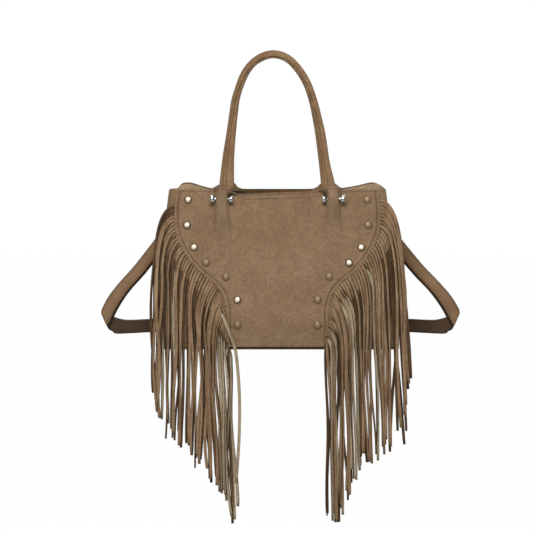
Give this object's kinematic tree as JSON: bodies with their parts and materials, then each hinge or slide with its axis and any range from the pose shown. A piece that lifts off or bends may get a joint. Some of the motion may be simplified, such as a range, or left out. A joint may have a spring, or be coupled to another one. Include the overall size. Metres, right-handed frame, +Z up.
{
  "type": "fringed suede hand bag",
  "caption": "Open-topped suede hand bag with a curved front overlay, long fringe at both sides, metal studs, rolled handles on pins and a flat shoulder strap.",
  "frame": {"origin": "the hang point under the tops of the two handles, midway between them", "axes": "+X to the right as seen from the front, +Y towards the back, +Z up"},
  "size_m": [0.5782, 0.1475, 0.7567],
  "materials": {
    "suede": "napped suede, mottled brown with a paler flesh side",
    "strap_leather": "smooth waxed leather with a dark painted edge",
    "lining_cloth": "plain woven cloth",
    "nickel": "antique nickel",
    "chrome": "polished"
  },
  "bodies": {
    "bag": {"back_panel": "suede", "base_panel": "suede", "chape_left": "suede", "chape_right": "suede", "fringe_left": "suede", "fringe_right": "suede", "front_overlay": "suede", "front_panel": "suede", "gusset_left": "suede", "gusset_right": "suede", "lining": "lining_cloth", "nut_back_left": "chrome", "nut_back_right": "chrome", "nut_front_left": "chrome", "nut_front_right": "chrome", "pin_back_left": "chrome", "pin_back_right": "chrome", "pin_front_left": "chrome", "pin_front_right": "chrome", "piping_left": "suede", "piping_right": "suede", "snap_post": "nickel", "snap_socket": "nickel", "stud_left_1": "nickel", "stud_left_2": "nickel", "stud_left_3": "nickel", "stud_left_4": "nickel", "stud_left_5": "nickel", "stud_left_6": "nickel", "stud_left_7": "nickel", "stud_right_1": "nickel", "stud_right_2": "nickel", "stud_right_3": "nickel", "stud_right_4": "nickel", "stud_right_5": "nickel", "stud_right_6": "nickel", "stud_right_7": "nickel"},
    "handle_front": {"handle_front": "suede"},
    "handle_back": {"handle_back": "suede"},
    "shoulder_strap": {"shoulder_strap": "strap_leather", "strap_ring_left": "nickel", "strap_ring_right": "nickel", "strap_rivet_left": "nickel", "strap_rivet_right": "nickel"}
  },
  "joints": [
    {"name": "handle_front_swing", "type": "hinge", "parent": "bag", "child": "handle_front", "pos_m": [0, -0.06011, -0.221], "axis": [1, 0, 0], "range_deg": [0, 13]},
    {"name": "handle_back_swing", "type": "hinge", "parent": "bag", "child": "handle_back", "pos_m": [0, 0.05611, -0.221], "axis": [-1, 0, 0], "range_deg": [0, 13]},
    {"name": "strap_swing", "type": "hinge", "parent": "bag", "child": "shoulder_strap", "pos_m": [0, 0.05549, -0.251], "axis": [1, 0, 0], "range_deg": [0, 120]}
  ]
}
